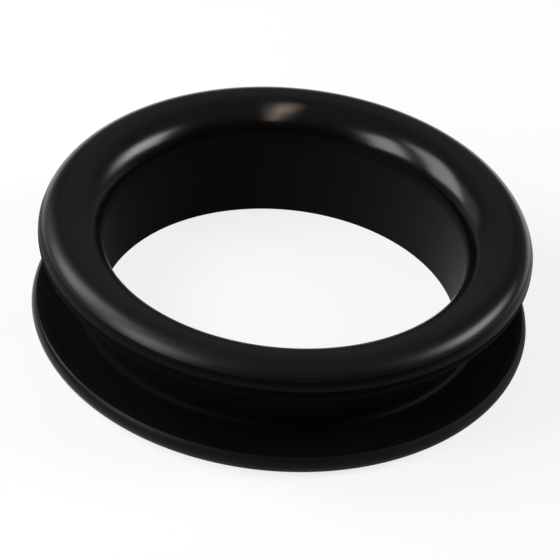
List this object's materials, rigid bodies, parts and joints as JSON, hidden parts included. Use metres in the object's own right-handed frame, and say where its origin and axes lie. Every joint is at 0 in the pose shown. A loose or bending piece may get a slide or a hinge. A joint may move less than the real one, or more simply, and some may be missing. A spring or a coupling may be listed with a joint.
{
  "type": "rubber grommet",
  "caption": "Round moulded rubber grommet with a fat rounded lip, a deep groove that grips the edge of a panel hole, a thin flange and a smooth bore for cables.",
  "frame": {"origin": "centre of the flat underside of the flange", "axes": "+Z along the bore, from the flange to the rounded lip; X and Y are alike because the part is round"},
  "size_m": [0.0608, 0.0608, 0.015],
  "materials": {
    "black_rubber": "smooth moulded, satin sheen"
  },
  "bodies": {
    "root": {"grommet": "black_rubber"}
  },
  "joints": []
}
